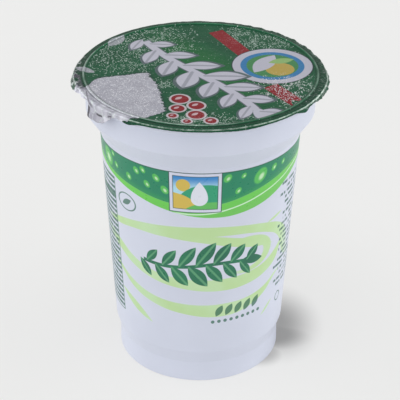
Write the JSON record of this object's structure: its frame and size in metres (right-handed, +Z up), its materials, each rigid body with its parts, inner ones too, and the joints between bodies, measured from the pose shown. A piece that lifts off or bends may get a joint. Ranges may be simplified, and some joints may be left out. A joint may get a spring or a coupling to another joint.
{
  "type": "yogurt cup",
  "caption": "Tapering white plastic cup with a stepped collar and foot, shut by a printed foil lid that is sealed to its rim and has a crumpled pull tab.",
  "frame": {"origin": "centre of the foot's standing plane, on the cup's axis", "axes": "+Z up along the cup's axis to the lid; the front of the print faces -Y and the pull tab is at the left front, towards -X"},
  "size_m": [0.0783, 0.076, 0.097],
  "materials": {
    "cup_plastic": "satin white with a green print",
    "lid_foil": "green lacquered foil with a bare silver patch"
  },
  "bodies": {
    "root": {"cup": "cup_plastic", "foil_lid": "lid_foil"}
  },
  "joints": []
}
